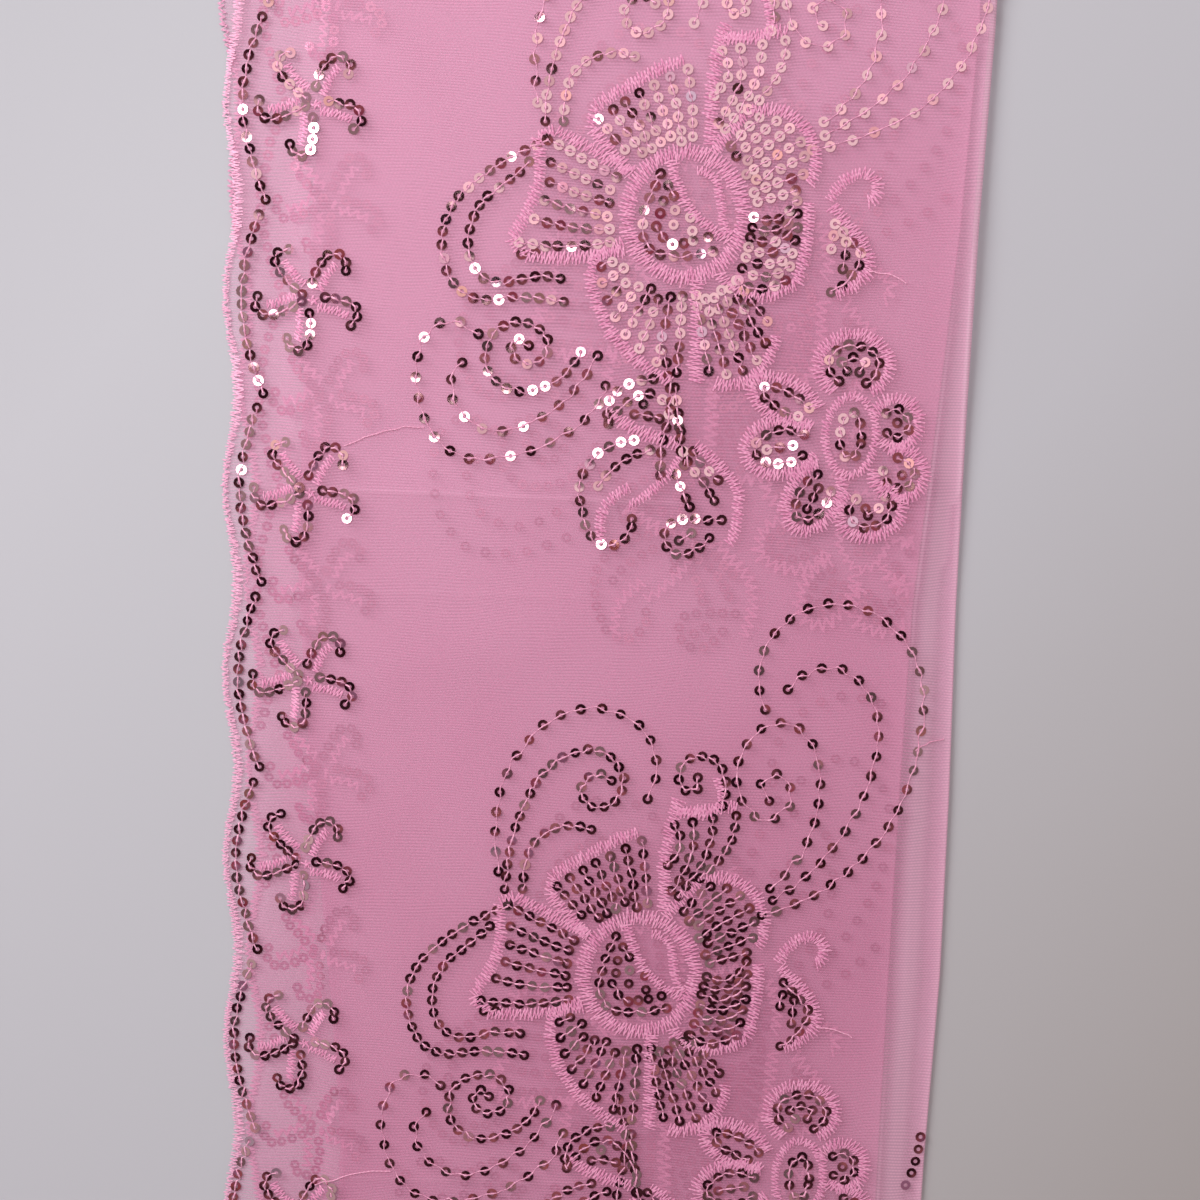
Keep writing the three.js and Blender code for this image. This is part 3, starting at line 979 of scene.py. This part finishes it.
# ------------ placing the embroidery

FRONT_MARGIN = 2.0  # kept clear along a layer's edges
SECOND_MARGIN = 2.5


def inside(places, outline, fold, end, margin):
    """Which places lie on a layer, clear of its edges."""
    x, y = places[:, 0], places[:, 1]
    return (x > outline(y) + margin) & (x < across(fold, y) - margin) & (np.abs(y) < end - margin)


def on_front(places):
    return inside(places, front_outline, "outer_fold", FRONT_END, FRONT_MARGIN)


def on_second(places):
    return inside(places, second_outline, "inner_fold", SECOND_END, SECOND_MARGIN)


def pieces_kept(chain, keep):
    """The runs of a chain that lie where keep says."""
    kept = keep(chain)
    breaks = np.flatnonzero(np.diff(kept.astype(int))) + 1
    runs = np.split(np.arange(len(chain)), breaks)
    return [chain[run] for run in runs if len(run) and kept[run[0]]]


def repeated(designs, centres, shift, keep):
    """The lines of a design at every centre, by turns, cut where the layer ends."""
    placed = []
    for index, centre in enumerate(centres):
        for line in designs[index % len(designs)]:
            placed += pieces_kept(line + centre + np.array(shift), keep)
    return placed


PULLED_ASIDE = (5.0, -3.5)  # how far the upper right of every other flower is pulled out of true
PULLED_FROM = (25, 5)  # where the pull begins, from the flower's centre
PULLED_OVER = (50, 30)  # and how far on it is at its full


def pulled_aside(line):
    share = smooth((line - PULLED_FROM) / PULLED_OVER).prod(axis=1, keepdims=True)
    return line + share * PULLED_ASIDE


STAR_CENTRES = [(STAR_X, FRONT_SCALLOP_AT + SCALLOP_PITCH * count) for count in range(-18, 18)]

SEQUIN_SCATTER = 0.12
SEQUIN_TILT = math.tan(math.radians(1.3))
SEQUINS_LOOSE = 0.12  # share of them that stand up more than the rest
LOOSE_TILT = 4.0  # times as much
# Neighbouring sequins lean together, by slopes across and along the shawl.
LEAN_ACROSS = [(31, 17, 0.03, 0.4), (-19, 43, 0.025, 2.0), (52, -29, 0.02, 4.1)]
LEAN_ALONG = [(23, -37, 0.03, 1.2), (41, 12, 0.025, 3.3), (-14, 57, 0.02, 5.2)]


def slopes(height_at, places):
    """Slopes of a layer, across and along, from its heights half a millimetre to each side."""
    x, y = places[:, 0], places[:, 1]
    slope_x = height_at(x + 0.5, y) - height_at(x - 0.5, y)
    slope_y = height_at(x, y + 0.5) - height_at(x, y - 0.5)
    return slope_x, slope_y


def sequin_places(chains, height_at, lift):
    """One row of (x, y, z, slope in x, slope in y) for each sequin, each tilted a little its own way."""
    flat = np.concatenate(chains)
    flat = flat + rng.normal(0, SEQUIN_SCATTER, flat.shape)
    slope_x, slope_y = slopes(height_at, flat)
    slope_x += waves_at(flat[:, 0], flat[:, 1], LEAN_ACROSS)
    slope_y += waves_at(flat[:, 0], flat[:, 1], LEAN_ALONG)
    loose = rng.uniform(0, 1, (len(flat), 1)) < SEQUINS_LOOSE
    jitter = rng.normal(0, SEQUIN_TILT, flat.shape) * np.where(loose, LOOSE_TILT, 1)
    z = height_at(flat[:, 0], flat[:, 1]) + lift
    return np.column_stack([flat, z, slope_x + jitter[:, 0], slope_y + jitter[:, 1]])


THREAD_OVER = 0.42  # height of a chain's thread over a sequin, at its rim, and under the net between two
THREAD_RIM = 0.3
THREAD_BETWEEN = -0.1
THREAD_REACH = 1.45  # how far it goes from a sequin's middle before it dips
THREAD_SHORT = 0.45  # and no further than this share of the way to the next one
THREAD_SWING = 0.25  # how far it turns from the chain's way as it crosses a sequin, in radians
THREAD_SCATTER = 0.1
THREAD_HALF = 0.22
THREAD_HALF_BETWEEN = 0.05
THREAD_SHARES = (0.65, 1.1)  # thinnest and thickest, as shares of the usual one
LINKED = (1.0, 6.5)  # sequins nearer or further apart than this have no thread between them


def turned(way, angles):
    """Flat directions, each turned by its own angle."""
    c, s = np.cos(angles), np.sin(angles)
    return np.column_stack([way[:, 0] * c - way[:, 1] * s, way[:, 0] * s + way[:, 1] * c])


def chain_threads(chains):
    """One short thread per sequin pair: over the first one's rim, down, and up over the next one's."""
    parts = []
    for chain in chains:
        gaps = np.linalg.norm(np.diff(chain, axis=0), axis=1)
        swing = rng.normal(0, THREAD_SWING, len(chain))
        near = np.flatnonzero((gaps < LINKED[1]) & (gaps > LINKED[0]))
        starts, ends = chain[near], chain[near + 1]
        way = (ends - starts) / gaps[near, None]
        reach = np.minimum(THREAD_REACH, gaps[near, None] * THREAD_SHORT)
        leaving = starts + turned(way, swing[near]) * reach
        arriving = ends - turned(way, swing[near + 1]) * reach
        middle = (leaving + arriving) / 2 + rng.normal(0, THREAD_SCATTER, starts.shape)
        parts.append(np.stack([starts, leaving, middle, arriving, ends], axis=1))
    lines = np.concatenate(parts)
    lifts = np.array([THREAD_OVER, THREAD_RIM, THREAD_BETWEEN, THREAD_RIM, THREAD_OVER])
    lines = np.dstack([lines, front_height(lines[:, :, 0], lines[:, :, 1]) + lifts])
    over = THREAD_HALF * rng.uniform(*THREAD_SHARES, (len(lines), 1))
    halves = over * [1, 1, THREAD_HALF_BETWEEN / THREAD_HALF, 1, 1]
    return lines, halves


STITCH_STEP = 0.52  # along a seam, from one strand of its zigzag to the next
HIDDEN_STITCH_STEP = 1.3
STITCH_LEAN = 0.35  # how far each side's turns lie ahead of the seam's line, or behind it
STITCH_SHARES = (0.75, 1.2)  # thinnest and thickest, as shares of the usual one
STITCH_TAPER = (0.8, 1.0, 0.8)
FLOWER_JITTER, STAR_JITTER = 0.15, 0.12  # of a strand's reach to each side
STITCH_SCATTER = (0.1, 0.12)  # of its ends and its middle, along the seam
STITCHES = {
    # kind: foot above its layer, rise from foot to middle, half width, crown
    "satin": (0.08, 0.2, 0.21, 0.07),
    "hidden satin": (-0.15, -0.2, 0.4, 0.05),
    "front edging": (0.1, 0.12, 0.17, 0.06),
    "second edging": (0.1, 0.1, 0.24, 0.06),
}


def zigzag(line, width, step, jitter):
    """The strands of a zigzag along a line, as (count, 3, 2) points from one side over to the other."""
    at_ends, at_middle = STITCH_SCATTER
    path = spaced(line, step)
    ahead, aside = ways(path)
    side = np.where(np.arange(len(path)) % 2 == 0, 1, -1)[:, None]
    reach = width / 2 * (1 + rng.normal(0, jitter, (len(path), 1)))
    lean = side * STITCH_LEAN + rng.normal(0, at_ends, (len(path), 1))
    turns = path + aside * side * reach + ahead * lean
    starts, ends = turns[:-1], turns[1:]
    middles = (starts + ends) / 2 + ahead[:-1] * rng.normal(0, at_middle, (len(starts), 1))
    return np.stack([starts, middles, ends], axis=1)


def seam_strands(shift, keep, step, star_jitter):
    """The zigzags of every flower and then of every star on a layer."""
    strands = []
    for seams, centres, jitter in (
        (flower_seams(), FLOWER_CENTRES, FLOWER_JITTER),
        (star_seams(), STAR_CENTRES, star_jitter),
    ):
        for centre in centres:
            for line, width in seams:
                placed = zigzag(line + centre + np.array(shift), width, step, jitter)
                strands.append(placed[keep(placed[:, 1])])
    return np.concatenate(strands)


EDGING_STEP = 0.4
SECOND_EDGING_STEP = 0.7
EDGING_OVERHANG = 0.7  # past the net
EDGING_NARROW = 1.7  # width where a scallop is deepest
EDGING_WIDE = 2.9  # and where two scallops meet
EDGING_SCATTER = (0.12, 0.2, 0.1, 0.3, 0.15)  # of steps, outer ends, widths, inner ends and middles


def edging_strands(outline, end, step, scallop_at):
    """Stitches across an edging from its scalloped line inwards, in an uneven zigzag."""
    of_steps, of_outer, of_widths, of_inner, of_middles = EDGING_SCATTER
    y = np.arange(-end, end, step)
    y = y + rng.normal(0, of_steps, len(y))
    between = (1 - np.cos(2 * np.pi * (y - scallop_at) / SCALLOP_PITCH)) / 2
    width = EDGING_NARROW + (EDGING_WIDE - EDGING_NARROW) * between
    edge = outline(y) - EDGING_OVERHANG
    outer = np.column_stack([edge + rng.normal(0, of_outer, len(y)), y])
    inner_x = edge + width * rng.normal(1, of_widths, len(y))
    inner = np.column_stack([inner_x, y + rng.normal(0, of_inner, len(y))])
    starts = np.where((np.arange(len(y)) % 2 == 0)[:, None], outer, inner)
    strands = np.stack([starts[:-1], (starts[:-1] + starts[1:]) / 2, starts[1:]], axis=1)
    strands[:, 1, 1] += rng.normal(0, of_middles, len(strands))
    return strands


def stitches(name, strands, height_at, kind, material):
    """Strands on a layer, with their feet near it and their middles arched and thicker."""
    foot, rise, half, crown = STITCHES[kind]
    heights = height_at(strands[:, :, 0], strands[:, :, 1]) + np.array([foot, foot + rise, foot])
    halves = half * rng.uniform(*STITCH_SHARES, (len(strands), 1)) * STITCH_TAPER
    return strand_mesh(name, np.dstack([strands, heights]), halves, crown, material)


# Loose threads that jump from one motif to the next, in places from the flower's centre.
JUMPS = [
    # start, end, sag
    ((-92, -66), (-70, -60), 1.5),
    ((75.5, 67.5), (84, 70.5), 0.6),
    ((51, -14), (61.5, -16.5), 0.8),
]
JUMP_LIFT = 0.3
JUMP_SCATTER = 0.12

# Sequins of the far half's scrolls that come round the outer fold, one short row per flower.
FOLD_ROW_Y = -61.0
FOLD_ROW_X = -1.9  # from the fold to the row's upper end
FOLD_ROW_BOW = 0.011
FOLD_ROW_LENGTHS = (20.0, 1.0)  # one flower in two shows most of its row, and the others one sequin


def jump_strands():
    lines = []
    share = np.linspace(0, 1, 9)[:, None]
    for centre in FLOWER_CENTRES:
        for start, end, sag in JUMPS:
            straight = np.array(start) * (1 - share) + np.array(end) * share
            path = straight + [0, 1] * (sag * 4 * share * (1 - share)) + centre
            path = path + rng.normal(0, JUMP_SCATTER, path.shape)
            if on_front(path).all():
                lines.append(path)
    lines = np.array(lines)
    return np.dstack([lines, front_height(lines[:, :, 0], lines[:, :, 1]) + JUMP_LIFT])


def fold_rows():
    """Short rows beside the outer fold."""
    rows = []
    for index, (_, flower_y) in enumerate(FLOWER_CENTRES):
        start = flower_y + FOLD_ROW_Y
        y = np.arange(start, start + FOLD_ROW_LENGTHS[index % 2], CLOSE)
        x = across("outer_fold", y) + FOLD_ROW_X - FOLD_ROW_BOW * (y - y[-1]) ** 2
        rows.append(np.column_stack([x, y]))
    return [run for row in rows for run in pieces_kept(row, on_front)]


def end_hem_lines():
    """Narrow rolled hems along both ends of the front and second layers, as rows of points."""
    lines = []
    for section_at, end in ((front_section, FRONT_END), (second_section, SECOND_END)):
        for y in (-end, end):
            section = section_at(y)
            height = lifted(section[:, 0], y, section[:, 1])
            lines.append(np.column_stack([section[:, 0], np.full(len(section), y), height]))
    return lines


# ------------ pieces

tulle, plain_tulle = tulle_material(), plain_tulle_material()
satin, edging_thread, shaded_inner_thread, plied = (thread_material(*row) for row in (
    # name, deep colour, light colour, roughness
    ("satin thread", (0.72, 0.23, 0.42), (0.91, 0.39, 0.59), 0.5),
    ("edging thread", (0.88, 0.38, 0.57), (0.96, 0.49, 0.68), 0.5),
    # The next thread is a darker, painted-shade copy of the satin and edging threads, for the embroidery that
    # lies under the net.
    ("shaded inner thread", (0.72, 0.31, 0.47), (0.78, 0.36, 0.53), 0.6),
    ("plied thread", (0.76, 0.30, 0.46), (0.93, 0.43, 0.61), 0.5),
))
foil = sequin_material("sequin foil", SEQUIN_TONES, 0.05)
foil_backs = sequin_material("sequin backs", BACK_TONES, 0.35)

front_tulle, second_tulle, hidden_tulle = (cloth_sheet(*row) for row in (
    # name, cross-section, half length, row step, place in the cut, columns before its fold, fold's packing
    # and painted highlight, look
    ("front_tulle", front_section, FRONT_END, 2.5, 0, FRONT_FOLD_AT, 0.5, tulle),
    ("second_tulle", second_section, SECOND_END, 5, 1200, SECOND_COLUMNS, 0.2, tulle),
    ("hidden_tulle", hidden_section, HIDDEN_END, 7, 600, HIDDEN_COLUMNS, 0.3, plain_tulle),
))

flower, star, wave = flower_chains(), star_chains(), [wave_chain()]
flowers = [flower, [pulled_aside(line) for line in flower]]
no_shift = (0, 0)
RING_SIDES = 10
SECOND_RING_SIDES = 6  # coarser, because these only show through the net
SEQUIN_LIFT = 0.25  # above their sheet
SECOND_SEQUIN_LIFT = -0.35
THREAD_CROWN = 0.2
JUMP_HALF = 0.17
HEM_HALF = 1.0
HEM_CROWN = 0.9

flower_runs = repeated(flowers, FLOWER_CENTRES, no_shift, on_front)
border_runs = repeated([star], STAR_CENTRES, no_shift, on_front)
border_runs += repeated([wave], STAR_CENTRES, no_shift, on_front)

places = sequin_places(flower_runs, front_height, SEQUIN_LIFT)
front_sequins = sequin_mesh("flower_sequins", places, RING_SIDES, foil)
places = sequin_places(border_runs + fold_rows(), front_height, SEQUIN_LIFT)
border_sequins = sequin_mesh("border_sequins", places, RING_SIDES, foil)
chain_lines = chain_threads(flower_runs + border_runs)
threads = strand_mesh("chain_threads", *chain_lines, THREAD_CROWN, plied)

strands = seam_strands(no_shift, on_front, STITCH_STEP, STAR_JITTER)
satin_stitches = stitches("satin_stitches", strands, front_height, "satin", satin)

strands = edging_strands(front_outline, FRONT_END, EDGING_STEP, FRONT_SCALLOP_AT)
front_edging = stitches("front_edging_stitches", strands, front_height, "front edging", edging_thread)
strands = edging_strands(second_outline, SECOND_END, SECOND_EDGING_STEP, SECOND_SCALLOP_AT)
second_edging = stitches("second_edging_stitches", strands, second_height, "second edging", shaded_inner_thread)

second_runs = repeated(flowers, FLOWER_CENTRES, SECOND_SHIFT, on_second)
second_runs += repeated([star + wave], STAR_CENTRES, SECOND_SHIFT, on_second)
places = sequin_places(second_runs, second_height, SECOND_SEQUIN_LIFT)
second_sequins = sequin_mesh("second_layer_sequins", places, SECOND_RING_SIDES, foil_backs, True)
strands = seam_strands(SECOND_SHIFT, on_second, HIDDEN_STITCH_STEP, FLOWER_JITTER)
second_stitches = stitches("second_layer_stitches", strands, second_height, "hidden satin", shaded_inner_thread)

jump_lines = jump_strands()
jump_halves = np.full(jump_lines.shape[:2], JUMP_HALF)
jumps = strand_mesh("jump_threads", jump_lines, jump_halves, THREAD_CROWN, plied)

hems = [
    strand_mesh(f"end_hem_{number}", line[None], np.full((1, len(line)), HEM_HALF), HEM_CROWN, edging_thread)
    for number, line in enumerate(end_hem_lines(), 1)
]

# ------------ floor, light and camera

FLOOR_HALF = 2.5


def add_floor():
    mesh = bpy.data.meshes.new("floor")
    corners = [(x * FLOOR_HALF, y * FLOOR_HALF, 0) for x, y in ((-1, -1), (1, -1), (1, 1), (-1, 1))]
    mesh.from_pydata(corners, [], [(0, 1, 2, 3)])
    mesh.materials.append(floor_material())
    add_object("floor", mesh)


def add_panel(name, place, target, turn, size, radiance, colour):
    """A soft rectangular light of an even brightness, in W per square metre and steradian."""
    light = bpy.data.lights.new(name, "AREA")
    light.shape = "RECTANGLE"
    light.size, light.size_y = size
    light.energy = radiance * math.pi * size[0] * size[1]
    light.color = colour
    lamp = add_object(name, light)
    lamp.location = place
    lamp.rotation_euler = (Vector(target) - Vector(place)).to_track_quat("-Z", "Y").to_euler()
    lamp.rotation_euler.rotate_axis("Z", math.radians(turn))


ROOM_GLOW = (0.45, 0.42, 0.41)
CEILING_TONES = [
    (0.42, (0.022, 0.008, 0.012)),
    (0.51, (0.06, 0.026, 0.030)),
    (0.56, (0.17, 0.08, 0.095)),
    (0.60, (0.32, 0.14, 0.14)),
    (0.64, (0.25, 0.05, 0.09)),
    (0.68, (0.25, 0.16, 0.25)),
]
CEILING_FROM, CEILING_FULL = 0.6, 0.82  # how high up the ceiling begins and is at its full


def add_sky():
    """A dim room: even light from all round, and a dark, patchy, warm ceiling."""
    world = bpy.data.worlds.new("studio")
    world.use_nodes = True
    tree = world.node_tree
    way = add_node(tree, "TexCoord", {}).outputs["Generated"]
    height = add_node(tree, "SeparateXYZ", {0: way}).outputs["Z"]
    ceiling = ramp_node(tree, noise_node(tree, way, scale=11.0, detail=1.0), CEILING_TONES)
    overhead = ramp_node(tree, height, [(CEILING_FROM, (0, 0, 0)), (CEILING_FULL, (1, 1, 1))])
    glow = mixed_colour(tree, overhead, ROOM_GLOW, ceiling)
    feed(tree.nodes["Background"], {"Color": glow, "Strength": 1.0})
    bpy.context.scene.world = world


CAMERA_PLACE = Vector((-0.001, 0.0764, 0.6263))
CAMERA_TARGET = Vector((0.0013, 0, 0.004))
CAMERA_ROLL = math.radians(1.7)
HALF_VIEW = math.radians(15)
SENSOR_WIDTH = 36


def add_camera():
    """Above the strip's middle, tilted a little towards its upper end and slightly rolled."""
    forward = (CAMERA_TARGET - CAMERA_PLACE).normalized()
    right = Vector((math.cos(CAMERA_ROLL), math.sin(CAMERA_ROLL), 0))
    right = (right - forward * right.dot(forward)).normalized()
    up = right.cross(forward)
    data = bpy.data.cameras.new("camera")
    data.sensor_width = SENSOR_WIDTH
    data.lens = SENSOR_WIDTH / 2 / math.tan(HALF_VIEW)
    data.clip_start = 0.01
    camera = add_object("camera", data)
    turn = Matrix((right, up, -forward)).transposed().to_4x4()
    camera.matrix_world = Matrix.Translation(CAMERA_PLACE) @ turn
    bpy.context.scene.camera = camera


add_floor()
add_sky()
for panel in (
    # name, place, target, turn, size, radiance, colour
    ("overhead", (0.31, 0.55, 1.5), (0.31, 0.55, 0), -27, (1.4, 0.9), 0.9, (1.0, 0.98, 0.99)),
    ("glint", (-0.17, 0.005, 1.5), (-0.17, 0.005, 0), 0, (0.42, 0.09), 4.5, (1.0, 1.0, 1.0)),
    ("key", (-0.8, 0.75, 0.85), (0, 0, 0), 0, (0.8, 0.8), 10.2, (0.98, 0.99, 1.0)),
):
    add_panel(*panel)
add_camera()
bpy.context.scene.view_settings.view_transform = "Standard"

# ------------ every piece goes on the root body; the kinds it is listed under are not used

for slot, pieces in {
    "tulle": [front_tulle, second_tulle, hidden_tulle],
    "edging": [front_edging, second_edging, *hems],
    "sequins": [front_sequins, border_sequins, second_sequins],
    "thread": [threads, satin_stitches, second_stitches, jumps],
}.items():
    for piece in pieces:
        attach(piece, "root")

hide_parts("front_layer")
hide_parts("second_layer")
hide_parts("hidden_layers")
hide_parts("front_edging")
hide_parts("second_edging")
